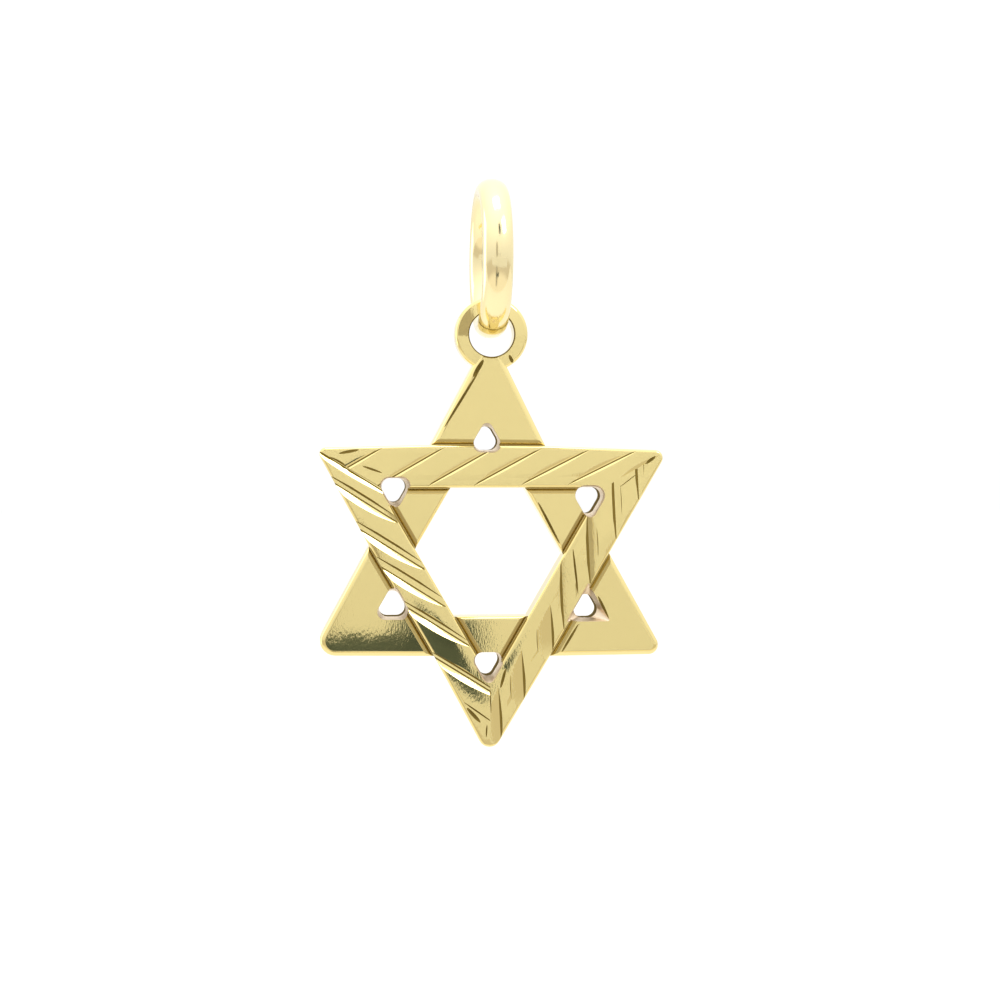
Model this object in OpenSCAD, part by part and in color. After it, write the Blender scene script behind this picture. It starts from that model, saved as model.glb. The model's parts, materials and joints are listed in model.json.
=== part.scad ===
// Star pendant: a cast six-pointed star with its eye, hanging in a closed bail ring.
// Frame: +Z up, X across the star, -Y towards the viewer. Millimetres.
// Origin: the seat of the chain, at the inside top of the bail ring.

/* [Star] */
// Width of the star across its side points
star_w = 16; // [13:0.5:24]
// Width of each bar of the two triangles
bar_w = 1.9; // [1.5:0.1:2.2]
// Thickness of the plate at the smooth triangle
plate_t = 1.2; // [0.9:0.1:1.6]
// Height of the fluted triangle above the smooth one
flute_rise = 0.08; // [0.02:0.02:0.2]
// Bevel round the front edge
edge_bevel = 0.2; // [0.1:0.05:0.3]

/* [Cuts in the star] */
// Depth of the flutes
flute_depth = 0.17; // [0.08:0.01:0.25]
// Angle of the flutes to their bar
flute_angle = 30; // [25:1:40]
// Width of the cut line where the triangles cross
border_w = 0.38; // [0.2:0.02:0.5]
// Depth of that line
border_depth = 0.22; // [0.18:0.02:0.3]
// Side of the small pierced triangles
pierced_side = 1.74; // [1.2:0.02:1.9]
// Rounding of a pierced triangle's outer corner
pierced_tip_r = 0.22; // [0.1:0.02:0.3]
// Rounding of its two other corners
pierced_base_r = 0.34; // [0.1:0.02:0.4]

/* [Eye] */
// Outside diameter of the eye
eye_od = 3.4; // [3:0.1:4]
// Diameter of its hole
eye_hole = 2.1; // [1.9:0.05:2.4]
// Bevel of the eye's edges
eye_bevel = 0.18; // [0.05:0.01:0.25]
// Width of the file mark on each side under the eye
notch_w = 0.26; // [0.1:0.02:0.4]

/* [Bail ring] */
// Outside diameter of the bail ring
bail_od = 7.4; // [6.5:0.1:10]
// Thickness of its wire towards the middle of the ring
wire_t = 1.1; // [0.8:0.05:1.2]
// Width of its wire across the ring
wire_w = 1.4; // [1:0.05:1.5]
// Gap between the wire and the top of the eye's hole
eye_gap = 0.06; // [0.03:0.01:0.2]

/* [Hidden] */
gold = "#e6cf86";

// Steps of a rounded corner, and sides of the bail wire's oval section
corner_steps = 6;
wire_sides = 32;
// What a cut runs past the surface that it starts from
over = 1;
// The bed under the fluted triangle lies this far below its flutes, and the
// triangle's root goes this far below the border lines
bed_margin = 0.01;
root_margin = 0.1;

// The six points, clockwise from the top one: place from the star's middle and
// rounding, as shares of the star's width
P_X = 0;
P_Z = 1;
P_ROUND = 2;
points = [
  [-0.004, 0.640, 0],
  [0.521, 0.295, 0.023],
  [0.513, -0.301, 0.029],
  [-0.006, -0.606, 0.033],
  [-0.533, -0.307, 0.045],
  [-0.516, 0.306, 0.026]];
// The six inner corners that follow them, in the same shares
inlets = [
  [0.160, 0.309, 0],
  [0.349, -0.003, 0],
  [0.172, -0.308, 0],
  [-0.167, -0.308, 0],
  [-0.358, 0.018, 0],
  [-0.177, 0.312, 0]];
// The star's middle to the outer side of its bars, as a share of its width
outer_share = 0.307;
// Directions of the small pierced triangles from the star's middle, clockwise
// from the top one
pierced_turns = [90, 27, -30, -90, -150.5, 146];
// How far they bite into the bar on their inner side
pierced_bite = 0.14;

// Where the flutes start along each bar, as shares of its half length between
// the mitres: top bar, right leg, left leg. The last ones end at the mitre.
flute_starts = [
  [-0.98, -0.55, -0.21, 0.08, 0.42, 0.76, 1.04],
  [-1.04, -0.70, -0.34, -0.05, 0.33, 0.71, 1.04],
  [-1.05, -0.61, -0.19, 0.11, 0.40, 0.78, 1.04]];
// A flute falls from this share of its pitch on, and its wall takes this share
fall_start = 0.6;
wall_share = 0.06;
// A border line's middle lies this share of its width off the fluted side, and
// the line runs this far past the star's inner corners
border_share = 0.25;
border_past = 0.15;
// Rounding of the corners of the fluted triangle's opening
opening_round = 0.6;
// The root of a bevel's cut runs this far outside the edge, and the cut this far
// past the edge's ends
bevel_aside = 0.03;
bevel_past = 0.08;
// The bevel of the top point's sides runs this share of the way up
bevel_run = 0.62;

// The file marks beside the eye, from the eye's middle as shares of its
// diameter: start across and up, end across and up
file_marks = [
  [-0.11, -0.34, -0.24, -0.56],
  [0.26, -0.25, 0.34, -0.41]];

// The star's middle to the sides and the middle line of its bars
outer_r = star_w * outer_share;
inner_r = outer_r - bar_w;
middle_r = (outer_r + inner_r) / 2;
// The half length of a bar's middle line between its mitres
bar_half = middle_r * sqrt(3);

// Levels through the plate: the viewer is at -Y
back_y = plate_t / 2;
front_y = -plate_t / 2;
crest_y = front_y - flute_rise;
bed_y = crest_y + flute_depth + bed_margin;
root_y = max(front_y + border_depth, bed_y) + root_margin;

// Heights under the chain's seat. The eye's hole hangs on the wire, which
// rises through the thickness of the plate.
bail_z = wire_t - bail_od / 2;
bail_in = bail_od / 2 - wire_t;
wire_top_z = bail_z - sqrt(pow(bail_in, 2) - pow(plate_t / 2, 2));
eye_z = wire_top_z + eye_gap - eye_hole / 2;
// The sharp top point of the star would end in the eye's hole, this far up
point_above_eye = 0.04 * eye_hole;
star_z = eye_z + point_above_eye - points[0][P_Z] * star_w;

function unit(v) = v / norm(v);
function flat(p) = [p[P_X], p[P_Z]];

// The arc that rounds corner p between its neighbours a and b
function rounded(a, p, b, r) =
  r == 0 ? [p] :
  let (u = unit(a - p),
       v = unit(b - p),
       half = acos(u * v) / 2,
       inward = unit(u + v),
       centre = p + inward * r / sin(half),
       turn_way = u[0] * v[1] - u[1] * v[0] > 0 ? -1 : 1,
       out = atan2(-inward[1], -inward[0]))
  [for (i = [0 : corner_steps])
    let (a = out + turn_way * (90 - half) * (2 * i / corner_steps - 1))
    centre + r * [cos(a), sin(a)]];

// An outline from corners that are each [x, z, rounding]
function smooth_outline(corners) =
  let (n = len(corners))
  [for (i = [0 : n - 1])
    each rounded(flat(corners[(i + n - 1) % n]), flat(corners[i]),
                 flat(corners[(i + 1) % n]), corners[i][P_ROUND])];

function star_corners() =
  [for (i = [0 : 5]) each [points[i] * star_w, inlets[i] * star_w]];

// The fluted triangle's outer corners: its three points and the inlets by them
function fluted_corners() =
  [for (i = [1 : 2 : 5])
    each [inlets[i - 1] * star_w, points[i] * star_w, inlets[i] * star_w]];

// The directions of its three points from the star's middle
fluted_turns = [150, 30, -90];
function opening_corner(i) =
  2 * inner_r * [cos(fluted_turns[i % 3]), sin(fluted_turns[i % 3])];
function opening_outline() =
  smooth_outline([for (i = [0 : 2]) concat(opening_corner(i), opening_round)]);

// Extrudes a drawing in X and Z from y0 to y1, which is nearer the viewer
module layer(y0, y1) {
  translate([0, y0, 0]) rotate([90, 0, 0]) linear_extrude(height = y0 - y1) children();
}

// A V cut in the front from a to b, its middle moved aside by shift
module v_cut(a, b, w, deep, shift = 0) {
  along = b - a;
  widen = 1 + over / deep;
  translate([a[0], 0, a[1]]) rotate([0, -atan2(along[1], along[0]), 0])
    translate([0, 0, shift]) rotate([90, 0, 90]) linear_extrude(height = norm(along))
      polygon([[front_y + deep, 0],
               [front_y - over, w / 2 * widen],
               [front_y - over, -w / 2 * widen]]);
}

// A block whose front is fluted: the flutes' section, drawn out along them
module fluted_block(starts) {
  pitch_step = bar_half * sin(flute_angle);
  section = [for (i = [0 : len(starts) - 2])
    let (crest = starts[i] * pitch_step,
         next = starts[i + 1] * pitch_step)
    each [[crest, crest_y],
          [crest + (next - crest) * fall_start, crest_y],
          [next - (next - crest) * wall_share, crest_y + flute_depth]]];
  before = starts[0] * pitch_step - bar_w;
  after = starts[len(starts) - 1] * pitch_step + bar_w;
  translate([0, 0, middle_r]) rotate([0, 90 - flute_angle, 0])
    translate([0, 0, -star_w]) linear_extrude(height = 2 * star_w)
      polygon(concat([[before, root_y + over], [before, crest_y]],
                     section,
                     [[after - bar_w, crest_y], [after, crest_y], [after, root_y + over]]));
}

// The third of the plate in which one bar lies, between two mitres
module bar_third(i) {
  layer(root_y, crest_y - over)
    polygon(concat([[0, 0]],
                   [for (turn = [fluted_turns[i], fluted_turns[(i + 1) % 3]])
                     star_w * [cos(turn), sin(turn)]]));
}

// A plain prism over the fluted triangle's bars
module fluted_bars(y0, y1) {
  difference() {
    layer(y0, y1) polygon(smooth_outline(fluted_corners()));
    layer(y0 + over, y1 - over) polygon(opening_outline());
  }
}

module fluted_triangle() {
  intersection() {
    fluted_bars(root_y, crest_y - over);
    union() for (i = [0 : 2]) intersection() {
      bar_third(i);
      rotate([0, 120 * i, 0]) fluted_block(flute_starts[i]);
    }
  }
}

// The whole star, which ends in the smooth triangle's front, with the bed in
// which the fluted triangle lies
module smooth_plate() {
  difference() {
    layer(back_y, front_y) polygon(smooth_outline(star_corners()));
    fluted_bars(bed_y, front_y - over);
  }
}

module eye_blank() {
  translate([0, 0, eye_z - star_z]) rotate([90, 0, 0]) {
    translate([0, 0, eye_bevel - plate_t / 2])
      cylinder(d = eye_od, h = plate_t - 2 * eye_bevel, $fn = 64);
    for (side = [0, 1]) mirror([0, 0, side]) translate([0, 0, plate_t / 2 - eye_bevel])
      cylinder(d1 = eye_od, d2 = eye_od - 2 * eye_bevel, h = eye_bevel, $fn = 64);
  }
}

module eye_bore() {
  translate([0, over + plate_t / 2, eye_z - star_z]) rotate([90, 0, 0])
    cylinder(d = eye_hole, h = plate_t + 2 * over, $fn = 64);
}

// One pierced triangle, its tip away from the star's middle
module pierced(turn) {
  reach = outer_r - pierced_bite;
  high = pierced_side * sqrt(3) / 2;
  corners = [[-pierced_side / 2, reach, pierced_base_r],
             [0, reach + high, pierced_tip_r],
             [pierced_side / 2, reach, pierced_base_r]];
  rotate([0, 90 - turn, 0]) layer(back_y + over, crest_y - over)
    polygon(smooth_outline(corners));
}

// The lines that part the two triangles where they cross, just beside the
// fluted one's sides
module border_lines() {
  aside = border_share * border_w;
  for (i = [0 : 2 : 4]) {
    a = flat(inlets[(i + 5) % 6]) * star_w;
    b = flat(inlets[i]) * star_w;
    v_cut(a - unit(b - a) * border_past, b + unit(b - a) * border_past,
          border_w, border_depth, aside);
  }
  for (i = [0 : 2]) {
    a = opening_corner(i);
    b = opening_corner(i + 1);
    v_cut(a + unit(b - a) * opening_round, b - unit(b - a) * opening_round,
          border_w, border_depth, -aside);
  }
}

// Bevels the front edge from a to b. The cut's root runs in the air beside it.
module edge_bevel_cut(a, b) {
  past = unit(b - a) * bevel_past;
  v_cut(a - past, b + past,
        2 * (edge_bevel + bevel_aside), edge_bevel + bevel_aside, bevel_aside);
}

module edge_bevels() {
  corners = star_corners();
  for (i = [1 : len(corners) - 2])
    edge_bevel_cut(flat(corners[i]), flat(corners[i + 1]));
  // The sides of the top point, up to the eye
  tip = flat(points[0]) * star_w;
  right = flat(inlets[0]) * star_w;
  left = flat(inlets[5]) * star_w;
  edge_bevel_cut(right + (tip - right) * bevel_run, right);
  edge_bevel_cut(left, left + (tip - left) * bevel_run);
}

// What the openings of both triangles leave free
module window() {
  intersection() {
    layer(back_y + over, crest_y - over) polygon(opening_outline());
    layer(back_y + over, crest_y - over) polygon([for (p = opening_outline()) -p]);
  }
}

module file_mark(m) {
  eye = [0, eye_z - star_z];
  v_cut(eye + eye_od * [m[0], m[1]], eye + eye_od * [m[2], m[3]], notch_w, notch_w / 2);
}

module star() color(gold) translate([0, 0, star_z]) difference() {
  union() {
    smooth_plate();
    fluted_triangle();
    eye_blank();
  }
  window();
  for (turn = pierced_turns) pierced(turn);
  border_lines();
  edge_bevels();
  for (m = file_marks) file_mark(m);
  eye_bore();
}

module bail_ring() color(gold) translate([0, 0, bail_z]) rotate([0, 90, 0])
  rotate_extrude($fn = 96) polygon([for (i = [0 : wire_sides - 1])
    let (a = 360 * i / wire_sides)
    [bail_od / 2 - wire_t / 2 + wire_t / 2 * cos(a), wire_w / 2 * sin(a)]]);

bail_ring();
star();
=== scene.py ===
"""A cast gold star pendant hanging in its bail ring, drawn as a jeweller would finish it."""

import json
import math

import bmesh
import bpy
from mathutils import Matrix, Vector


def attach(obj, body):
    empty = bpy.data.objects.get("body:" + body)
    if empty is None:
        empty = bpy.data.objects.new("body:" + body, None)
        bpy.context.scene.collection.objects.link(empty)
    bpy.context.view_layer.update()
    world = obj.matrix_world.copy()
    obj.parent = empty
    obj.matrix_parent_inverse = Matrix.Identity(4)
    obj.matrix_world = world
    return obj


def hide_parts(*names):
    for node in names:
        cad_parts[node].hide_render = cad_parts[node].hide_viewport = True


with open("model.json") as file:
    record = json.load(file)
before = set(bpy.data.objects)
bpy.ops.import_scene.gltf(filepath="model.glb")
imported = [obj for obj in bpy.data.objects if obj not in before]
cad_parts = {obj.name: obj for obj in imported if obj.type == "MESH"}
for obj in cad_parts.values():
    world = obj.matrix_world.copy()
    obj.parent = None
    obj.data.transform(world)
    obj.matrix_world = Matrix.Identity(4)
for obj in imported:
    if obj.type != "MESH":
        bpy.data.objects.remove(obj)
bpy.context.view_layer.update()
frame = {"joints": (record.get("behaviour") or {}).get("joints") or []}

bl_info = {
    "name": "Gold Star Pendant",
    "version": (1, 0, 0),
    "blender": (4, 5, 0),
    "location": "View3D > Sidebar > Pendant",
    "description": "A pierced six-pointed star with one fluted triangle, in a closed bail ring",
    "category": "Add Mesh",
}

MM = 0.001
HINGE_Z = frame["joints"][0]["pos_m"][2]

# The six points, clockwise from the top one: place from the star's middle and
# rounding, as shares of its width
X, Z, ROUND = 0, 1, 2
POINTS = [
    (-0.004, 0.640, 0),
    (0.5225, 0.2965, 0.023),
    (0.518, -0.306, 0.029),
    (-0.006, -0.606, 0.033),
    (-0.529, -0.299, 0.045),
    (-0.511, 0.304, 0.018),
]
# The inner corners that follow them, as shares of the same width
INLETS = [
    (0.160, 0.309),
    (0.349, -0.003),
    (0.172, -0.308),
    (-0.167, -0.3045),
    (-0.3565, 0.020),
    (-0.177, 0.312),
]
# The star's middle to the outer side of its bars, and how far the smooth
# triangle's opening lies to the left of it, as shares of its width
OUTER_SHARE = 0.307
OPENING_ASIDE = 0.0105
# The sharp top point would end in the eye's hole, this share of it up
POINT_ABOVE_EYE = 0.04
# How far out the smooth triangle reaches under the fluted points, and half its
# width there, as shares of the star's width
UNDER_OUT = 0.3375
UNDER_HALF = 0.0625
# Where the tips of the two triangles' openings are cut off, as shares of the way
# from the star's middle to the outer side of its bars
SMOOTH_TIP = 0.81
FLUTED_TIP = 1.05
# The points at which the top, right and left fluted bars start and end
BAR_ENDS = [(5, 1), (1, 3), (3, 5)]

# The cuts of the graver's wheel along each bar, clockwise from its start: where a
# cut begins and where its steep wall stands, as shares of the bar's half length,
# the angle between cut and bar, and the wheel's radius in millimetres
BEGIN, WALL, ANGLE, WHEEL = 0, 1, 2, 3
TOP_CUTS = [
    (-1.09, -0.966, 30, 40),
    (-0.67, -0.55, 30, 40),
    (-0.33, -0.207, 29.5, 40),
    (-0.02, 0.11, 28.5, 40),
    (0.31, 0.44, 27, 40),
    (0.64, 0.77, 26, 40),
    (0.90, 1.06, 30, 40),
]
RIGHT_CUTS = [
    (-1.09, -1.007, 33, 60),
    (-0.785, -0.698, 33, 60),
    (-0.463, -0.342, 33, 60),
    (-0.163, 0.018, 33, 60),
]
RIGHT_TURNED_CUTS = [
    (0.185, 0.38, 33, 24),
    (0.576, 0.745, 33, 26),
    (0.892, 1.06, 33, 30),
]
LEFT_CUTS = [
    (-0.735, -0.60, 28, 17),
    (-0.33, -0.187, 28, 17),
    (-0.03, 0.15, 28, 17),
    (0.27, 0.43, 28, 17),
    (0.64, 0.79, 28, 17),
    (0.935, 1.03, 28, 40),
]
# The steep wall of a cut: places across it and their depth, as shares of the
# wall's width and the cut's depth
WALL_ROWS = [(0.4, 0.55), (0.7, 0.22), (1, 0.06)]

# The small pierced triangles: place from the star's middle as shares of its width,
# which way the tip stands in degrees, side as a share of that width, then how much
# larger the flare in front is, how far it is shifted to the right and down, and the
# rounding of its corners, in millimetres
TURN, SIDE, GROWN, ASIDE, DOWN, SOFT = 2, 3, 4, 5, 6, 7
PIERCED = [
    (-0.0155, 0.328, 90, 0.106, 0.12, 0.03, 0.02, 0.32),
    (0.285, 0.155, -90, 0.115, 0.12, 0.05, -0.02, 0.36),
    (0.2807, -0.1656, 90, 0.106, 0.34, 0.10, 0.04, 0.04),
    (-0.010, -0.325, -90, 0.108, 0.14, 0.03, 0.03, 0.32),
    (-0.288, -0.155, 90, 0.114, 0.16, 0.02, 0.06, 0.30),
    (-0.284, 0.185, -90, 0.107, 0.16, 0.05, 0.02, 0.32),
]
# Rounding of their tip and of their other corners behind the flare, in millimetres
TIP_ROUND = 0.36
BASE_ROUND = 0.40
# From the middle of such a triangle to its base and its tip, as shares of its side
TO_BASE = 0.289
TO_TIP = 0.577

# Nicks of the file and the graver: both ends from the star's middle as shares of
# its width, then width and depth in millimetres, and 1 on the fluted triangle
TO, WIDE, DEEP, RAISED = 2, 4, 5, 6
NICKS = [
    (-0.0245, 0.560, -0.055, 0.510, 0.21, 0.12, 0),
    (0.0485, 0.578, 0.069, 0.539, 0.25, 0.12, 0),
    (-0.036, 0.530, -0.153, 0.341, 0.13, 0.07, 0),
    (0.257, -0.213, 0.206, -0.298, 0.12, 0.05, 0),
    (0.315, -0.131, 0.347, -0.199, 0.14, 0.07, 0),
    (0.136, 0.146, 0.2065, 0.010, 0.14, 0.08, 0),
    (-0.376, 0.252, -0.319, 0.232, 0.10, 0.03, 1),
    (-0.476, 0.279, -0.423, 0.252, 0.18, 0.07, 1),
    (-0.450, 0.287, -0.376, 0.301, 0.18, 0.04, 1),
    (0.452, 0.257, 0.486, 0.281, 0.16, 0.06, 1),
    (0.378, 0.190, 0.428, 0.228, 0.045, 0.015, 1),
    (0.238, 0.018, 0.256, -0.134, 0.10, 0.05, 1),
    (0.0425, -0.339, 0.0265, -0.398, 0.14, 0.06, 1),
    (-0.075, -0.452, -0.031, -0.500, 0.19, 0.07, 1),
    (-0.091, -0.431, 0.0046, -0.499, 0.08, 0.04, 1),
    (-0.0045, -0.394, 0.000, -0.488, 0.05, 0.03, 1),
    (-0.013, -0.505, -0.0155, -0.545, 0.08, 0.04, 1),
]

# The light tent: its radiance overhead, then degrees above the horizon and the
# red, green and blue radiance there
TENT_TOP = 1.8
TENT = [
    (-90, 1.14, 1.08, 0.98),
    (-28, 1.14, 1.08, 0.98),
    (-20, 0.80, 0.74, 0.66),
    (-6, 0.80, 0.75, 0.68),
    (-3, 1.01, 1.01, 1.01),
    (10, 1.12, 1.12, 1.12),
    (40, 1.45, 1.45, 1.45),
]

# The camera and what it looks at, from the star's middle in millimetres, then its
# roll in degrees and the width of its sensor and its lens in millimetres
CAMERA_AT = Vector((-9.3, -87, 6.0))
CAMERA_AIM = Vector((0.459, 0, 2.412))
CAMERA_ROLL = 0.113
SENSOR = 36
LENS = 67.17

# How many steps a rolled edge has in front and behind, and the crown of a bar
RIM_STEPS = 9
BACK_STEPS = 6
CROWN_STEPS = 6
# Vertices nearer to each other than this, in millimetres, are merged in a wheel's
# cutter, after each cut and at the end
MERGE_CUTTER = 0.00001
MERGE_CUT = 0.0004
MERGE_LAST = 0.0005
# Where faces almost share a plane, an exact boolean now and then loses a cut, and
# not in the same place each time. The star is built again when a hole is missing or
# an edge is open, this often at most. The holes that go right through it are the
# six pierced triangles, the window and the eye
TRIES = 6
STAR_HOLES = 8


def length(name, description, default):
    """A size that the user sets in scene units, given here in millimetres."""
    return bpy.props.FloatProperty(
        name=name, description=description, default=default * MM,
        unit="LENGTH", subtype="DISTANCE", precision=6)


def hue(name, description, default):
    """A colour that the user picks, given here as an sRGB hex value."""
    return bpy.props.FloatVectorProperty(
        name=name, description=description, subtype="COLOR", size=4, min=0, max=1,
        default=linear(default))


def linear(hex_value):
    """A linear colour from an sRGB hex value."""
    parts = [int(hex_value[i:i + 2], 16) / 255 for i in (1, 3, 5)]
    return [p / 12.92 if p <= 0.04045 else ((p + 0.055) / 1.055) ** 2.4 for p in parts] + [1]


class StarSizes(bpy.types.PropertyGroup):
    """Sizes of the star and its eye."""

    width: length("Width", "Width of the star across its side points", 16)
    bar: length("Bar", "Width of each bar of the two triangles", 1.9)
    plate: length("Plate", "Thickness of the plate at the smooth triangle", 1.2)
    rise: length("Rise", "Height of the fluted triangle above the smooth one", 0.08)
    plate_rim: length("Smooth rim", "Rolled edge of the smooth triangle", 0.27)
    bar_rim: length("Fluted rim", "Rolled edge of the fluted triangle", 0.13)
    back_rim: length("Back rim", "Rolled edge of the back", 0.1)
    crown: length("Crown", "Crown of the fluted bars", 0.015)
    flute: length("Flute", "Depth of the flutes", 0.18)
    border: length("Border", "Width of the line where the triangles cross", 0.26)
    border_deep: length("Border depth", "Depth of that line", 0.15)
    eye: length("Eye", "Outside diameter of the eye", 3.4)
    eye_hole: length("Eye hole", "Diameter of the eye's hole", 2.1)
    eye_rim: length("Eye rim", "Rolled edge of the eye", 0.18)


class BailSizes(bpy.types.PropertyGroup):
    """Sizes of the bail ring."""

    ring: length("Ring", "Outside diameter of the bail ring", 7.4)
    wire: length("Wire", "Thickness of its wire towards the middle of the ring", 1.1)
    wire_wide: length("Wire width", "Width of its wire across the ring", 1.4)


class GoldColours(bpy.types.PropertyGroup):
    """Colours of the gold, of the light and shade painted on it, and of what stands round it.
    """

    polished: hue("Polished", "Polished 18 carat gold", "#E8D695")
    # Wire: the same gold painted paler than the star's, a painted sheen for the washed-out
    # light on the bail ring
    wire: hue("Wire", "Gold of the bail ring", "#EEDFAE")
    # Hollow: gold of the lines where the triangles cross, a little matt as the mop left it, its
    # darker brown a painted shade in the recess
    hollow: hue("Hollow", "Hollows that the mop has not reached", "#B09C63")
    # Root: painted shade, a dark matt brown put in the roots and on the walls of the cuts, in
    # the nicks, and on the walls and rims of the holes
    root: hue("Root", "Polishing compound left in the roots of the cuts", "#76632C")
    # Cast: the flares of the pierced holes, matt and grainy as cast, their paler pinkish cream
    # a painted highlight of walls lit from the left
    cast: hue("Cast", "Walls left as cast", "#EFDEC4")
    card: hue("Dark card", "Cards whose reflections darken the gold", "#4E5857")
    white: hue("White card", "Large card in front, which the flats reflect", "#DBDBDA")
    bright: hue("Bright card", "Wide card across the front, level with the star", "#E2E2E1")
    grey: hue("Grey card", "Tall narrow card in front, on the left", "#ABA59B")
    floor: hue("Floor", "Opal acrylic under and behind the pendant", "#E4E3E0")


def select_only(piece, *others):
    """Leaves just these objects selected, the first of them active."""
    bpy.ops.object.select_all(action="DESELECT")
    for each in (piece, *others):
        each.select_set(True)
    bpy.context.view_layer.objects.active = piece


def flat(corner, scale):
    """A row's place in the plane of the star, at a scale."""
    return Vector((corner[X], corner[Z])) * scale


def towards(degrees):
    """The unit vector at this angle in the plane of the star."""
    return Vector((math.cos(math.radians(degrees)), math.sin(math.radians(degrees))))


def rounded(before, corner, after, radius, steps):
    """The arc that rounds a corner between its neighbours."""
    if radius == 0:
        return [corner]
    back = (before - corner).normalized()
    on = (after - corner).normalized()
    half = back.angle(on) / 2
    inward = (back + on).normalized()
    centre = corner + inward * radius / math.sin(half)
    way = -1 if back.x * on.y - back.y * on.x > 0 else 1
    out = math.atan2(-inward.y, -inward.x)
    reach = math.pi / 2 - half
    arc = []
    for i in range(steps + 1):
        turn = out + way * reach * (2 * i / steps - 1)
        arc.append(centre + radius * Vector((math.cos(turn), math.sin(turn))))
    return arc


def outline(corners, steps=8):
    """A closed outline from corners that are each a place and a rounding."""
    count = len(corners)
    points = []
    for i, (corner, radius) in enumerate(corners):
        before = corners[i - 1][0]
        after = corners[(i + 1) % count][0]
        points += rounded(before, corner, after, radius, steps)
    return points


def drawn_in(points, amount):
    """The outline moved inwards by an amount, or outwards by a negative one."""
    count = len(points)
    area = sum(points[i - 1].x * points[i].y - points[i].x * points[i - 1].y
               for i in range(count))
    side = 1 if area > 0 else -1
    moved = []
    for i, point in enumerate(points):
        first = (point - points[i - 1]).normalized()
        second = (points[(i + 1) % count] - point).normalized()
        first_normal = Vector((-first.y, first.x)) * side
        second_normal = Vector((-second.y, second.x)) * side
        bisector = first_normal + second_normal
        moved.append(point + bisector * amount / (1 + first_normal.dot(second_normal)))
    return moved


def inset(corners, amount):
    """The outline of corners moved inwards, their rounding shrinking as they go."""
    least = 0.02
    moved = drawn_in([corner for corner, radius in corners], amount)
    return outline([(place, max(radius - amount, least) if radius else 0)
                    for place, (corner, radius) in zip(moved, corners)])


def on_grid(across, up):
    """A place on a fine grid, by which a vertex is found again."""
    return round(across, 5), round(up, 5)


def layered(name, layers):
    """A closed solid drawn out through layers, each an outline and its level."""
    points, level = layers[0]
    bpy.ops.object.select_all(action="DESELECT")
    bpy.ops.mesh.primitive_circle_add(vertices=len(points), fill_type="NGON")
    piece = bpy.context.object
    piece.name = name
    bpy.ops.object.mode_set(mode="EDIT")
    mesh = bmesh.from_edit_mesh(piece.data)
    mesh.verts.ensure_lookup_table()
    for vertex, point in zip(mesh.verts, points):
        vertex.co = (point.x, level, point.y)
    bmesh.update_edit_mesh(piece.data)
    for next_points, next_level in layers[1:]:
        bpy.ops.mesh.extrude_region_move()
        mesh = bmesh.from_edit_mesh(piece.data)
        places = {on_grid(p.x, p.y): q for p, q in zip(points, next_points)}
        for vertex in mesh.verts:
            if vertex.select:
                target = places[on_grid(vertex.co.x, vertex.co.z)]
                vertex.co = (target.x, next_level, target.y)
        bmesh.update_edit_mesh(piece.data)
        points = [Vector(on_grid(p.x, p.y)) for p in next_points]
    bpy.ops.mesh.select_all(action="SELECT")
    bpy.ops.mesh.normals_make_consistent(inside=False)
    bpy.ops.object.mode_set(mode="OBJECT")
    return piece


def rim_rows(rim, crown=0, half=0, steps=RIM_STEPS):
    """How far in and how far down a rolled edge and the crown behind it lie."""
    rows = []
    for i in range(steps + 1):
        turn = math.pi / 2 * i / steps
        rows.append((rim * (1 - math.cos(turn)), crown + rim * (1 - math.sin(turn))))
    if crown:
        for i in range(1, CROWN_STEPS + 1):
            share = i / CROWN_STEPS
            rows.append((rim + (half - rim) * share, crown * (1 - share) ** 2))
    return rows


def rolled(corners, front, back, rim, back_rim, crown=0, half=0):
    """Layers of a plate with a rolled edge in front and a smaller one behind."""
    layers = [(inset(corners, inward), back - down)
              for inward, down in reversed(rim_rows(back_rim, steps=BACK_STEPS))]
    return layers + [(inset(corners, inward), front + down)
                     for inward, down in rim_rows(rim, crown, half)]


def opening(corners, front, back, rim, back_rim, crown=0, half=0):
    """Layers of what an opening cuts out, whose edges it rolls.

    They run a hair clear of the faces in front and behind, so that none lies in
    the plane of a face that they cut.
    """
    over = 0.5
    clear = 0.003
    layers = [(inset(corners, -back_rim), back + over)]
    layers += [(inset(corners, -outward), back + clear - down * (1 + clear / back_rim))
               for outward, down in reversed(rim_rows(back_rim, steps=BACK_STEPS))]
    rows = rim_rows(rim, crown, half)
    deepest = rows[0][1]
    layers += [(inset(corners, -outward), front - clear + down * (1 + clear / deepest))
               for outward, down in rows]
    layers.append((inset(corners, -rows[-1][0]), front - over))
    return layers


def merged(piece, nearer):
    """Merges the vertices of a piece that lie nearer to each other than this."""
    select_only(piece)
    bpy.ops.object.mode_set(mode="EDIT")
    bpy.ops.mesh.select_all(action="SELECT")
    bpy.ops.mesh.remove_doubles(threshold=nearer)
    bpy.ops.mesh.delete_loose()
    bpy.ops.mesh.select_all(action="SELECT")
    bpy.ops.mesh.fill_holes(sides=3)
    bpy.ops.mesh.select_all(action="SELECT")
    bpy.ops.mesh.normals_make_consistent(inside=False)
    bpy.ops.object.mode_set(mode="OBJECT")


def combine(piece, other, operation):
    """Applies a boolean of the piece with the other, which is used up."""
    modifier = piece.modifiers.new("shape", "BOOLEAN")
    modifier.operation = operation
    modifier.solver = "EXACT"
    modifier.material_mode = "TRANSFER"
    modifier.object = other
    select_only(piece)
    bpy.ops.object.modifier_apply(modifier=modifier.name)
    bpy.data.objects.remove(other)
    merged(piece, MERGE_CUT)


def joined(pieces):
    """One object of several that don't touch."""
    select_only(pieces[0], *pieces[1:])
    bpy.ops.object.join()
    return bpy.context.object


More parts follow.
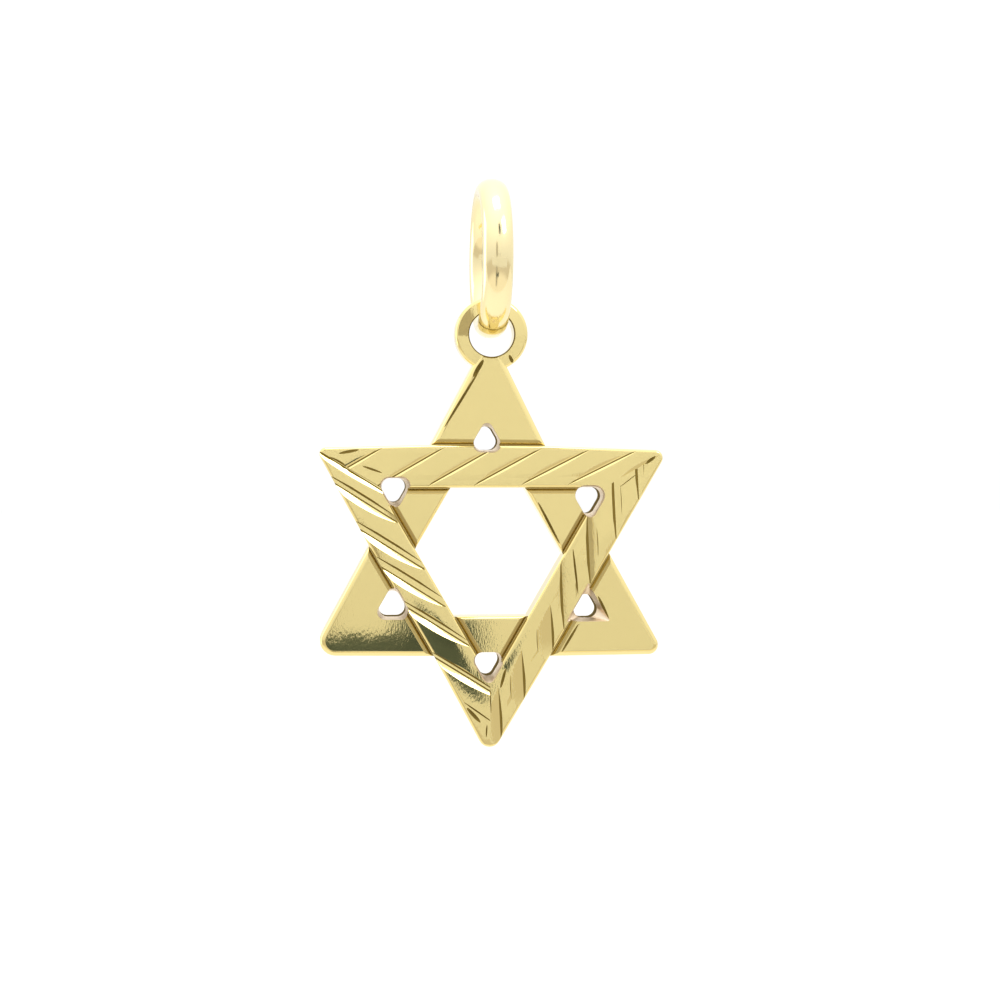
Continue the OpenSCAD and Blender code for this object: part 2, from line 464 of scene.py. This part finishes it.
def lay_in_star(piece, right, up, middle):
    """Turns a piece in the plane of the star and moves it, all in its mesh."""
    select_only(piece)
    piece.matrix_world = Matrix((
        (right.x, 0, up.x, middle.x),
        (0, 1, 0, 0),
        (right.y, 0, up.y, middle.y),
        (0, 0, 0, 1)))
    bpy.ops.object.transform_apply(location=True, rotation=True, scale=True)


def coat(piece, *materials):
    """Gives a piece its materials and returns it."""
    piece.data.materials.clear()
    for material in materials:
        piece.data.materials.append(material)
    return piece


def coat_between(piece, first, last, coat_there):
    """Gives the faces of a cutter that lie between two levels a coat of their own."""
    piece.data.materials.append(coat_there)
    for face in piece.data.polygons:
        if first < face.center.y < last:
            face.material_index = 1
    return piece


class StarShape:
    """The star's sizes and corners in millimetres, from its middle, its front at -Y."""

    def __init__(self, sizes):
        self.width = sizes.width / MM
        self.outer = self.width * OUTER_SHARE
        self.inner = self.outer - sizes.bar / MM
        self.middle = (self.outer + self.inner) / 2
        self.bar_half = self.middle * math.sqrt(3)
        self.back = sizes.plate / MM / 2
        self.front = -self.back
        self.crest = self.front - sizes.rise / MM
        self.flute = sizes.flute / MM
        self.points = [(flat(p, self.width), p[ROUND] * self.width) for p in POINTS]
        self.inlets = [(flat(p, self.width), 0) for p in INLETS]
        self.eye = Vector((0, self.points[0][0].y - POINT_ABOVE_EYE * sizes.eye_hole / MM))
        self.star_z = HINGE_Z / MM - self.eye.y


def tip_corners(turns, reach, tip):
    """Corners of a triangle whose tips are cut off at a reach from the middle."""
    corners = []
    for turn in turns:
        out = towards(turn)
        aside = Vector((-out.y, out.x)) * (tip - reach) * math.tan(math.radians(30))
        corners += [(out * reach + aside, 0), (out * reach - aside, 0)]
    return corners


def smooth_triangle(shape, sizes):
    """The point-up triangle, which runs on under the bars of the other."""
    under = UNDER_OUT * shape.width
    half = UNDER_HALF * shape.width
    corners = []
    for i in (0, 2, 4):
        out = towards(30 - 60 * i)
        across = Vector((-out.y, out.x)) * half
        corners += [
            shape.points[i],
            shape.inlets[i],
            (out * under + across, 0),
            (out * under - across, 0),
            shape.inlets[i + 1],
        ]
    plate = layered("smooth_triangle", rolled(
        corners, shape.front, shape.back, sizes.plate_rim / MM, sizes.back_rim / MM))
    aside = Vector((-OPENING_ASIDE * shape.width, 0))
    hole = [(corner + aside, radius) for corner, radius in tip_corners(
        (90, -30, -150), SMOOTH_TIP * shape.outer, 2 * shape.inner)]
    cutter = layered("window", opening(
        hole, shape.front, shape.back, 0.7 * sizes.plate_rim / MM, sizes.back_rim / MM))
    combine(plate, cutter, "DIFFERENCE")
    return plate


def fluted_corners(shape):
    """Corners of the point-down triangle and of the opening in it."""
    corners = []
    for i in (1, 3, 5):
        corners += [shape.inlets[i - 1], shape.points[i], shape.inlets[i]]
    return corners, tip_corners((150, 30, -90), FLUTED_TIP * shape.outer, 2 * shape.inner)


def fluted_ring(shape, sizes):
    """The point-down triangle before its flutes are cut, its bars a little crowned.

    Its back stands a hair inside the plate's, so that the two aren't in one plane.
    """
    crown = sizes.crown / MM
    half = sizes.bar / MM / 2
    back = shape.back - 0.002
    corners, hole = fluted_corners(shape)
    ring = layered("fluted_triangle", rolled(
        corners, shape.crest, back,
        sizes.bar_rim / MM, sizes.back_rim / MM, crown, half))
    cutter = layered("window", opening(
        hole, shape.crest, shape.back, sizes.bar_rim / MM, sizes.back_rim / MM, crown, half))
    combine(ring, cutter, "DIFFERENCE")
    return ring


def fluted_bed(shape):
    """What the smooth triangle lacks in front, where the fluted one lies in it."""
    floor = shape.front + 0.3
    top = shape.front - 0.5
    overlap = 0.03
    past = 0.1
    corners, hole = fluted_corners(shape)
    side = inset(corners, overlap)
    bed = layered("bed", [(side, floor), (side, top)])
    side = inset(hole, -overlap)
    island = layered("island", [(side, floor + past), (side, top - past)])
    combine(bed, island, "DIFFERENCE")
    return bed


def bar_of(ring, shape, index):
    """A copy of the fluted triangle cut down to one bar between its mitres."""
    select_only(ring)
    bpy.ops.object.duplicate()
    bar = bpy.context.object
    start, end = [shape.points[i][0].normalized() for i in BAR_ENDS[index]]
    overlap = 0.02
    bpy.ops.object.mode_set(mode="EDIT")
    for along, side, past in ((start, 1, overlap), (end, -1, 0)):
        normal = Vector((-along.y, along.x)) * side
        bpy.ops.mesh.select_all(action="SELECT")
        bpy.ops.mesh.bisect(
            plane_co=(normal.x * past, 0, normal.y * past),
            plane_no=(normal.x, 0, normal.y),
            use_fill=True, clear_outer=True)
    bpy.ops.object.mode_set(mode="OBJECT")
    return bar


def soft_section(wide, flute):
    """A shallow cut that steepens all the way to its root, with a low bright wall.

    Like the other sections it gives its points, the width of its wall and the
    strips painted dark as shade, each from one place to another.
    """
    deep = 0.34 * flute
    wall = 0.09
    even = 0.08
    steps = 12
    section = []
    for i in range(steps + 1):
        share = i / steps
        section.append((-wide * (1 - share), deep * (even * share + (1 - even) * share ** 3)))
    return section, wall, [(-0.055, 0.005)]


def crisp_section(wide, flute):
    """A cut with a sharp edge, a plane slope, and a narrow floor with sides painted dark as
    shade.
    """
    slope = math.tan(math.radians(30))
    slope_end = 0.86
    least_floor = 0.12
    bend = 0.07
    wall = 0.1
    deep = min(flute, (wide - least_floor) * slope / slope_end)
    foot = slope_end * deep / slope - wide
    section = [
        (-wide, 0),
        (foot, slope_end * deep),
        (foot + 0.03, 0.92 * deep),
        (foot + bend, 0.95 * deep),
        (0, deep),
    ]
    return section, wall, [(foot, foot + bend), (0, wall)]


def leaf_section(wide, flute):
    """A shallow hollow with a sharp beginning and a wide wall."""
    deep = 0.35 * flute
    edge = 0.04
    edge_deep = 0.14
    wall = 0.14
    steps = 8
    section = [(-wide, 0), (-wide + edge, edge_deep * deep)]
    for i in range(1, steps + 1):
        share = i / steps
        section.append(((edge - wide) * (1 - share),
                        deep * (edge_deep + 0.6 * share + 0.26 * share ** 2)))
    return section, wall, [(-wide, -wide + 0.05), (-0.01, wall)]


def whole_section(shape, cut, section_of, turned):
    """A cut's section across the bar, its depth and the strips painted dark as shade.

    It falls from the cut's beginning to its root and rises in a steep wall with a
    small round on its rim. A turned one has its wall where the others begin.
    """
    over = 0.12
    wide = (cut[WALL] - cut[BEGIN]) * shape.bar_half * math.sin(math.radians(cut[ANGLE]))
    section, wall, strips = section_of(wide, shape.flute)
    deep = section[-1][1]
    start, after = section[:2]
    slope = (after[1] - start[1]) / (after[0] - start[0])
    section.insert(0, (start[0] - over / slope, start[1] - over))
    section += [(across * wall, down * deep) for across, down in WALL_ROWS]
    section += [(wall + 0.05, -0.04 * deep), (wall + 0.1, -over)]
    if turned:
        section = [(-wide - u, y) for u, y in section]
        strips = [(-wide - far, -wide - near) for near, far in strips]
    return section, deep, strips


def wheel_cut(shape, index, cut, section_of, materials, turned=False):
    """What the graver's wheel takes out of a bar along a shallow arc."""
    angle = cut[ANGLE]
    wheel = cut[WHEEL]
    past = 0.5
    section, deep, strips = whole_section(shape, cut, section_of, turned)
    half_run = 0.5 * (shape.outer - shape.inner) / math.sin(math.radians(angle)) + past
    reach = math.asin(half_run / wheel)
    hub = shape.crest + deep - wheel
    bpy.ops.object.select_all(action="DESELECT")
    bpy.ops.mesh.primitive_circle_add(vertices=len(section), fill_type="NGON")
    cutter = coat(bpy.context.object, *materials)
    bpy.ops.object.mode_set(mode="EDIT")
    mesh = bmesh.from_edit_mesh(cutter.data)
    mesh.verts.ensure_lookup_table()
    for vertex, (u, y) in zip(mesh.verts, section):
        from_hub = shape.crest + y - hub
        vertex.co = (u, hub + from_hub * math.cos(reach), from_hub * math.sin(reach))
    bmesh.update_edit_mesh(cutter.data)
    bpy.ops.mesh.spin(steps=24, angle=2 * reach, center=(0, hub, 0), axis=(1, 0, 0))
    bpy.ops.mesh.select_all(action="SELECT")
    bpy.ops.mesh.remove_doubles(threshold=MERGE_CUTTER)
    bpy.ops.mesh.normals_make_consistent(inside=False)
    bpy.ops.object.mode_set(mode="OBJECT")
    # The strips at the root and on the wall take the second coat, painted shade
    for face in cutter.data.polygons:
        if any(near < face.center.x < far for near, far in strips):
            face.material_index = 1
    along = towards(angle - 120 * index)
    across = Vector((along.y, -along.x))
    outward = towards(90 - 120 * index)
    forward = towards(-120 * index)
    lay_in_star(cutter, across, along,
                outward * shape.middle + forward * cut[WALL] * shape.bar_half)
    return cutter


def prism(name, section, start, end, side, past=0):
    """A straight cutter along a line, its section given by distance aside and level."""
    along = (end - start).normalized()
    away = Vector((-along.y, along.x)) * side
    first = start - along * past
    run = end - start + along * 2 * past
    bpy.ops.object.select_all(action="DESELECT")
    bpy.ops.mesh.primitive_circle_add(vertices=len(section), fill_type="NGON")
    cutter = bpy.context.object
    cutter.name = name
    bpy.ops.object.mode_set(mode="EDIT")
    mesh = bmesh.from_edit_mesh(cutter.data)
    mesh.verts.ensure_lookup_table()
    for vertex, (aside, y) in zip(mesh.verts, section):
        at = first + away * aside
        vertex.co = (at.x, y, at.y)
    bmesh.update_edit_mesh(cutter.data)
    bpy.ops.mesh.extrude_region_move(TRANSFORM_OT_translate={"value": (run.x, 0, run.y)})
    bpy.ops.mesh.select_all(action="SELECT")
    bpy.ops.mesh.normals_make_consistent(inside=False)
    bpy.ops.object.mode_set(mode="OBJECT")
    return cutter


def border_cut(shape, sizes, start, end, side):
    """A line beside the fluted bars: its root at their foot, its flank rising away."""
    wide = sizes.border / MM
    deep = sizes.border_deep / MM
    under_bar = -0.2
    root = 0.05
    above = shape.front - 0.5
    return prism("border", [
        (under_bar, above),
        (under_bar, shape.front + deep),
        (root, shape.front + deep),
        (0.6 * wide, shape.front + 0.36 * deep),
        (wide, shape.front + 0.025),
        (wide + 0.05, shape.front - 0.006),
        (wide + 0.3, above),
    ], start, end, side, past=0.3)


def border_cuts(shape, sizes):
    """The lines beside both sides of all three fluted bars."""
    cuts = []
    for i, _ in BAR_ENDS:
        start = shape.inlets[i][0]
        end = shape.inlets[(i + 1) % 6][0]
        cuts.append(border_cut(shape, sizes, start, end, 1))
    for turn in (150, 30, -90):
        start = towards(turn) * 2 * shape.inner
        end = towards(turn - 120) * 2 * shape.inner
        cuts.append(border_cut(shape, sizes, start, end, -1))
    return cuts


def bar_cuts(shape, coats):
    """All that the wheel takes out of the top, right and left fluted bars."""
    top = [wheel_cut(shape, 0, cut, soft_section, coats) for cut in TOP_CUTS]
    right = [wheel_cut(shape, 1, cut, leaf_section, coats) for cut in RIGHT_CUTS]
    right += [wheel_cut(shape, 1, cut, leaf_section, coats, True) for cut in RIGHT_TURNED_CUTS]
    left = [wheel_cut(shape, 2, cut, crisp_section, coats) for cut in LEFT_CUTS]
    return [joined(cuts) for cuts in (top, right, left)]


def nick_cut(shape, nick):
    """A nick that narrows to both ends and to its root."""
    start = flat(nick, shape.width)
    run = flat(nick[TO:], shape.width) - start
    away = Vector((-run.y, run.x)).normalized()
    level = shape.crest if nick[RAISED] else shape.front
    steps = 24

    def oval(grown):
        ring = []
        for i in range(steps):
            turn = 2 * math.pi * i / steps
            ring.append(start + run * (1 - grown * math.cos(turn)) / 2
                        + away * grown * nick[WIDE] / 2 * math.sin(turn))
        return ring

    return layered("nick", [
        (oval(1.3), level - 0.2), (oval(1), level), (oval(0.3), level + nick[DEEP])])


def cut_nicks(piece, shape, raised, material):
    """Cuts the nicks of the fluted triangle, or else of the rest, out of a piece, their faces
    coated in the material given, which in the star is painted shade.
    """
    for nick in NICKS:
        if nick[RAISED] == raised:
            combine(piece, coat(nick_cut(shape, nick), material), "DIFFERENCE")


def pierced_hole(shape, hole, flare, bore):
    """A small pierced triangle with a flared front, its inner walls coated in painted shade
    unlike the flare.
    """
    side = hole[SIDE] * shape.width
    up = towards(hole[TURN])
    right = Vector((up.y, -up.x))
    middle = flat(hole, shape.width)
    lip = shape.front + 0.015
    flare_end = shape.front + 0.42

    def triangle(side_length, centre, tip_round, base_round):
        low = -side_length * TO_BASE
        high = side_length * TO_TIP
        return outline([
            (centre + right * -side_length / 2 + up * low, base_round),
            (centre + up * high, tip_round),
            (centre + right * side_length / 2 + up * low, base_round),
        ], 10)

    inner = triangle(side, middle, TIP_ROUND, BASE_ROUND)
    shift = Vector((hole[ASIDE], -hole[DOWN]))
    outer = triangle(side + hole[GROWN], middle + shift, 0.8 * hole[SOFT], 1.2 * hole[SOFT])
    wider = drawn_in(outer, -0.3)
    cutter = layered("pierced", [
        (inner, shape.back + 0.5),
        (inner, flare_end),
        (outer, lip),
        (wider, shape.front - 0.45)])
    return coat_between(coat(cutter, flare), flare_end, shape.back, bore)


def lathe_disc(name, profile, middle, sides=96):
    """A round solid from a profile of radius and level, its axis through the plate."""
    layers = []
    for radius, level in profile:
        ring = []
        for i in range(sides):
            turn = 2 * math.pi * i / sides
            ring.append(middle + radius * Vector((math.cos(turn), math.sin(turn))))
        layers.append((ring, level))
    return layered(name, layers)


def quarter(radius, level, rim, way, steps=6):
    """A rolled edge's radii and levels, from the side wall to the face."""
    rows = []
    for i in range(steps + 1):
        turn = math.pi / 2 * i / steps
        rows.append((radius - rim * (1 - math.cos(turn)),
                     level - way * rim * (1 - math.sin(turn))))
    return rows


def eye_blank(shape, sizes):
    """The eye's disc, whose front falls away a little from the hole."""
    radius = sizes.eye / MM / 2
    hole = sizes.eye_hole / MM / 2
    face = shape.front + 0.06
    back = shape.back - 0.02
    profile = quarter(radius, back, sizes.back_rim / MM, 1)
    profile.reverse()
    profile += quarter(radius, face, sizes.eye_rim / MM, -1)
    profile.append((hole + 0.02, shape.front + 0.012))
    return lathe_disc("eye", profile, shape.eye)


def eye_bore(shape, sizes):
    """What the eye's hole takes out, its edges broken."""
    radius = sizes.eye_hole / MM / 2
    rim = 0.09
    profile = [
        (radius + rim, shape.back + 0.4),
        (radius + rim, shape.back),
        (radius + rim / 3, shape.back - rim / 3),
        (radius, shape.back - rim),
        (radius, shape.front + rim + 0.02),
        (radius + rim / 3, shape.front + rim / 3),
        (radius + rim, shape.front - 0.004),
        (radius + rim + 0.2, shape.front - 0.4),
    ]
    return lathe_disc("bore", profile, shape.eye)


def finish_piece(piece, name, shift_z, through, smooth=12):
    """Cleans a mesh in millimetres, smooths it and brings it to metres in its place.

    It says whether the piece is closed and has this many holes right through it.
    """
    merged(piece, MERGE_LAST)
    bpy.ops.object.shade_smooth_by_angle(angle=math.radians(smooth))
    piece.scale = (MM, MM, MM)
    piece.location = (0, 0, shift_z * MM)
    bpy.ops.object.transform_apply(location=True, rotation=True, scale=True)
    modifier = piece.modifiers.new("normals", "WEIGHTED_NORMAL")
    modifier.keep_sharp = True
    modifier.weight = 80
    bpy.ops.object.modifier_apply(modifier=modifier.name)
    piece.name = name
    piece.data.name = name
    mesh = bmesh.new()
    mesh.from_mesh(piece.data)
    open_edges = [e for e in mesh.edges if len(e.link_faces) != 2]
    holes = 1 - (len(mesh.verts) - len(mesh.edges) + len(mesh.faces)) / 2
    print(name, "faces", len(mesh.faces), "open edges", len(open_edges),
          "holes through", holes, "volume mm3", mesh.calc_volume() / MM ** 3)
    mesh.free()
    return not open_edges and holes == through


def add(tree, kind, settings=None, links=None):
    """Adds a node, sets its properties and inputs, and links inputs to sockets."""
    node = tree.nodes.new(kind)
    for key, value in (settings or {}).items():
        if key in node.inputs.keys() or isinstance(key, int):
            node.inputs[key].default_value = value
        else:
            setattr(node, key, value)
    for key, socket in (links or {}).items():
        tree.links.new(socket, node.inputs[key])
    return node


def new_material(name):
    """An empty material and its node tree."""
    material = bpy.data.materials.new(name)
    material.use_nodes = True
    material.node_tree.nodes.clear()
    return material, material.node_tree


def gold_material(name, colour, roughness, scratch):
    """Polished 18 carat gold: a clear warm mirror, softened by fine mop scratches.

    The waves that the file left are 1.8 mm long. The scratches are drawn 0.07 mm
    apart, several times as coarse as a mop's, so that they show.
    """
    waves_to_mm = 0.55
    scratches_to_mm = 15
    along_to_mm = 5.5
    material, tree = new_material(name)
    where = add(tree, "ShaderNodeTexCoord").outputs["Object"]
    waves = add(tree, "ShaderNodeTexNoise", {"Scale": waves_to_mm / MM, "Detail": 1.0},
                {"Vector": where})
    first = add(tree, "ShaderNodeBump", {"Strength": 1.0, "Distance": 0.005 * MM},
                {"Height": waves.outputs["Fac"]})
    turned = add(tree, "ShaderNodeMapping", {
        "Rotation": (0.2, math.radians(25), 0.1),
        "Scale": (scratches_to_mm / MM, along_to_mm / MM, along_to_mm / MM)},
        {"Vector": where})
    fine = add(tree, "ShaderNodeTexNoise", {"Scale": 1.0, "Detail": 2.0},
               {"Vector": turned.outputs["Vector"]})
    second = add(tree, "ShaderNodeBump", {"Strength": scratch, "Distance": 0.0014 * MM},
                 {"Height": fine.outputs["Fac"], "Normal": first.outputs["Normal"]})
    shader = add(tree, "ShaderNodeBsdfPrincipled", {
        "Base Color": colour, "Metallic": 1.0, "Roughness": roughness},
        {"Normal": second.outputs["Normal"]})
    add(tree, "ShaderNodeOutputMaterial", links={"Surface": shader.outputs["BSDF"]})
    return material


def cast_material(name, colour, roughness, grain_deep):
    """Gold as it left the mould: matt, with a grain of 0.08 mm as deep as given."""
    grains_to_mm = 12
    material, tree = new_material(name)
    where = add(tree, "ShaderNodeTexCoord").outputs["Object"]
    grain = add(tree, "ShaderNodeTexNoise", {"Scale": grains_to_mm / MM, "Detail": 3.0},
                {"Vector": where})
    bump = add(tree, "ShaderNodeBump", {"Strength": 0.6, "Distance": grain_deep * MM},
               {"Height": grain.outputs["Fac"]})
    shader = add(tree, "ShaderNodeBsdfPrincipled", {
        "Base Color": colour, "Metallic": 1.0, "Roughness": roughness},
        {"Normal": bump.outputs["Normal"]})
    add(tree, "ShaderNodeOutputMaterial", links={"Surface": shader.outputs["BSDF"]})
    return material


def matt_material(name, colour):
    """Matt card, opal acrylic, or the dark brown painted shade in roots, nicks and holes."""
    material, tree = new_material(name)
    shader = add(tree, "ShaderNodeBsdfPrincipled", {
        "Base Color": colour, "Roughness": 0.9, "Specular IOR Level": 0.1})
    add(tree, "ShaderNodeOutputMaterial", links={"Surface": shader.outputs["BSDF"]})
    return material


def whole_star(shape, sizes, polished, hollow, root, cast):
    """The star in millimetres: both triangles, the eye, and all that is cut from them."""
    star = coat(smooth_triangle(shape, sizes), polished)
    combine(star, coat(fluted_bed(shape), polished), "DIFFERENCE")
    # The lines where the triangles cross take the darker matt gold, their darkness painted
    # shade
    for cut in border_cuts(shape, sizes):
        combine(star, coat(cut, hollow), "DIFFERENCE")
    ring = coat(fluted_ring(shape, sizes), polished)
    for index, cuts in enumerate(bar_cuts(shape, (polished, root))):
        bar = bar_of(ring, shape, index)
        combine(bar, cuts, "DIFFERENCE")
        cut_nicks(bar, shape, 1, root)
        combine(star, bar, "UNION")
    bpy.data.objects.remove(ring)
    combine(star, coat(eye_blank(shape, sizes), polished), "UNION")
    cut_nicks(star, shape, 0, root)
    holes = joined([pierced_hole(shape, hole, cast, root) for hole in PIERCED])
    combine(star, holes, "DIFFERENCE")
    bore = coat(eye_bore(shape, sizes), polished)
    # A ring of painted shade, dark matt brown, on the broken front edge of the eye's hole
    coat_between(bore, shape.front, shape.front + 0.1, root)
    combine(star, bore, "DIFFERENCE")
    return star


class PENDANT_OT_star(bpy.types.Operator):
    """Adds the star with its eye."""

    bl_idname = "pendant.star"
    bl_label = "Star"

    def execute(self, context):
        sizes = context.scene.pendant_star
        colours = context.scene.pendant_gold
        shape = StarShape(sizes)
        polished = gold_material("polished_gold_star", colours.polished, 0.05, 1.0)
        # Matt gold painted darker, as shade in the lines where the triangles cross
        hollow = cast_material("matt_gold_with_painted_shade", colours.hollow, 0.22, 0.004)
        # Painted shade: dark matt brown where shade falls in roots, nicks and holes
        root = matt_material("painted_shade_in_roots", colours.root)
        # Matt cast gold, its pale pinkish cream a painted highlight on the flares
        cast = cast_material("cast_gold_painted_highlight", colours.cast, 0.42, 0.02)

        for _ in range(TRIES):
            star = whole_star(shape, sizes, polished, hollow, root, cast)
            if finish_piece(star, "star_gold_plate", shape.star_z, STAR_HOLES):
                break
            unsound = star.data
            bpy.data.objects.remove(star)
            bpy.data.meshes.remove(unsound)
        else:
            raise RuntimeError("the star isn't closed or lacks a hole")
        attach(star, "star")
        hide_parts("star")
        return {"FINISHED"}


class PENDANT_OT_bail_ring(bpy.types.Operator):
    """Adds the bail ring."""

    bl_idname = "pendant.bail_ring"
    bl_label = "Bail Ring"

    def execute(self, context):
        sizes = context.scene.pendant_bail
        ring = sizes.ring / MM
        wire = sizes.wire / MM
        bpy.ops.object.select_all(action="DESELECT")
        bpy.ops.mesh.primitive_torus_add(
            major_segments=160, minor_segments=64,
            major_radius=(ring - wire) / 2, minor_radius=wire / 2)
        piece = bpy.context.object
        bpy.ops.object.mode_set(mode="EDIT")
        bpy.ops.mesh.select_all(action="SELECT")
        bpy.ops.transform.resize(value=(1, 1, sizes.wire_wide / sizes.wire))
        bpy.ops.transform.rotate(value=math.pi / 2, orient_axis="Y", center_override=(0, 0, 0))
        bpy.ops.object.mode_set(mode="OBJECT")
        if not finish_piece(piece, "bail_ring_wire", wire - ring / 2, 1, smooth=60):
            raise RuntimeError("the bail ring isn't closed")
        # The ring's gold is painted paler than the star's, a painted sheen of washed-out light
        piece.data.materials.append(
            gold_material("polished_gold_wire_painted_paler", context.scene.pendant_gold.wire, 0.13, 0.5))
        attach(piece, "bail")
        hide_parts("bail_ring")
        return {"FINISHED"}


def bearing(aside, up, far):
    """A place seen from the star at an angle aside from the front and one upwards."""
    across = math.radians(aside)
    high = math.radians(up)
    return Vector((math.sin(across) * math.cos(high), -math.cos(across) * math.cos(high),
                   math.sin(high))) * far


def facing(thing, middle, at):
    """Places a thing so that its face looks at the star."""
    thing.location = (middle + at) * MM
    thing.rotation_euler = (-at).to_track_quat("-Z", "Y").to_euler()


def soft_box(name, middle, at, wide, high, radiance):
    """A soft box that faces the star, as bright as its radiance over its whole face."""
    data = bpy.data.lights.new(name, "AREA")
    data.shape = "RECTANGLE"
    data.size = wide * MM
    data.size_y = high * MM
    data.energy = radiance * math.pi * data.size * data.size_y
    light = bpy.data.objects.new(name, data)
    bpy.context.scene.collection.objects.link(light)
    facing(light, middle, at)


def card(name, middle, at, wide, high, material):
    """A card that the gold reflects and the camera doesn't see, facing the star.

    Its place from the middle, its width and its height are in millimetres.
    """
    bpy.ops.object.select_all(action="DESELECT")
    bpy.ops.mesh.primitive_plane_add(size=1)
    piece = bpy.context.object
    piece.name = name
    piece.scale = (wide * MM, high * MM, 1)
    facing(piece, middle, at)
    piece.visible_camera = False
    piece.data.materials.append(material)


def tent_world():
    """A white light tent: dimmest just below the horizon, brightest at its top."""
    world = bpy.data.worlds.new("studio_tent")
    world.use_nodes = True
    tree = world.node_tree
    tree.nodes.clear()
    where = add(tree, "ShaderNodeTexCoord").outputs["Generated"]
    height = add(tree, "ShaderNodeSeparateXYZ", links={"Vector": where}).outputs["Z"]
    share = add(tree, "ShaderNodeMapRange", {"From Min": -1.0}, {"Value": height})
    ramp = add(tree, "ShaderNodeValToRGB", links={"Fac": share.outputs["Result"]})
    stops = ramp.color_ramp.elements
    for up, *radiance in TENT:
        at = (1 + math.sin(math.radians(up))) / 2
        stops.new(at).color = [channel / TENT_TOP for channel in radiance] + [1]
    stops.remove(stops[0])
    stops[-1].color = (1, 1, 1, 1)
    light = add(tree, "ShaderNodeBackground", {"Strength": TENT_TOP},
                {"Color": ramp.outputs["Color"]})
    add(tree, "ShaderNodeOutputWorld", links={"Surface": light.outputs["Background"]})
    return world


def studio_floor(colour):
    """A floor of opal acrylic, 4 metres wide and well below the pendant."""
    bpy.ops.object.select_all(action="DESELECT")
    bpy.ops.mesh.primitive_plane_add(size=4, location=(0, 1.85, -0.2))
    floor = bpy.context.object
    floor.name = "floor"
    bpy.ops.object.transform_apply(location=True)
    floor.data.materials.append(matt_material("opal_acrylic", colour))


def studio_cards(middle, colours):
    """The cards round the pendant, placed from the middle of the star or the bail."""
    bail = Vector((0, 0, 13.7))
    white = matt_material("white_card", colours.white)
    bright = matt_material("bright_card", colours.bright)
    grey = matt_material("grey_card", colours.grey)
    dark = matt_material("dark_card", colours.card)
    card("front_card", middle, Vector((33, -310, -21)), 96, 108, white)
    card("low_dark_card", middle, Vector((-3.1, -50, -12.0)), 15.6, 5.1, dark)
    card("low_dark_step", middle, Vector((1.4, -50, -8.75)), 5.8, 1.6, dark)
    card("bail_card", middle, Vector((10, -60, 4)), 130, 16, bright)
    card("left_strip", middle, Vector((-17, -120, -16)), 21, 150, grey)
    card("upper_dark_patch", middle, bail + bearing(10.7, 38, 120), 19, 32, dark)


def studio_camera(middle):
    """The camera, placed from the middle of the star."""
    data = bpy.data.cameras.new("camera")
    camera = bpy.data.objects.new("camera", data)
    bpy.context.scene.collection.objects.link(camera)
    at = middle + CAMERA_AT
    aim = middle + CAMERA_AIM
    camera.location = at * MM
    look = (aim - at).to_track_quat("-Z", "Y")
    roll = Matrix.Rotation(math.radians(CAMERA_ROLL), 3, "Z").to_quaternion()
    camera.rotation_euler = (look @ roll).to_euler()
    data.sensor_width = SENSOR
    data.lens = LENS
    data.clip_start = 1 * MM
    return camera


class PENDANT_OT_stage(bpy.types.Operator):
    """Adds the floor, the light and the camera."""

    bl_idname = "pendant.stage"
    bl_label = "Stage"

    def execute(self, context):
        scene = context.scene
        colours = scene.pendant_gold
        shape = StarShape(scene.pendant_star)
        middle = Vector((0, 0, shape.star_z))
        scene.view_settings.view_transform = "Standard"

        scene.world = tent_world()
        studio_floor(colours.floor)
        studio_cards(middle, colours)
        soft_box("upper_right_box", middle, bearing(45.5, 42.5, 250), 80, 84, 5)
        soft_box("overhead_box", middle, bearing(10, 83, 250), 110, 90, 4)
        soft_box("left_box", middle, bearing(-108, 8, 280), 160, 250, 1.2)
        scene.camera = studio_camera(middle)
        return {"FINISHED"}


class PENDANT_PT_panel(bpy.types.Panel):
    """Lists the sizes, the colours and the steps."""

    bl_label = "Gold Star Pendant"
    bl_space_type = "VIEW_3D"
    bl_region_type = "UI"
    bl_category = "Pendant"

    def draw(self, context):
        layout = self.layout
        for group in ("pendant_star", "pendant_bail", "pendant_gold"):
            settings = getattr(context.scene, group)
            for name in settings.__annotations__:
                layout.prop(settings, name)
        for operator in (PENDANT_OT_stage, PENDANT_OT_star, PENDANT_OT_bail_ring):
            layout.operator(operator.bl_idname)


GROUPS = {"pendant_star": StarSizes, "pendant_bail": BailSizes, "pendant_gold": GoldColours}
CLASSES = (StarSizes, BailSizes, GoldColours, PENDANT_OT_star, PENDANT_OT_bail_ring,
           PENDANT_OT_stage, PENDANT_PT_panel)


def register():
    for each in CLASSES:
        bpy.utils.register_class(each)
    for name, group in GROUPS.items():
        setattr(bpy.types.Scene, name, bpy.props.PointerProperty(type=group))


def unregister():
    for name in GROUPS:
        delattr(bpy.types.Scene, name)
    for each in reversed(CLASSES):
        bpy.utils.unregister_class(each)


def main():
    register()
    bpy.ops.pendant.stage()
    bpy.ops.pendant.star()
    bpy.ops.pendant.bail_ring()


if __name__ == "__main__":
    main()
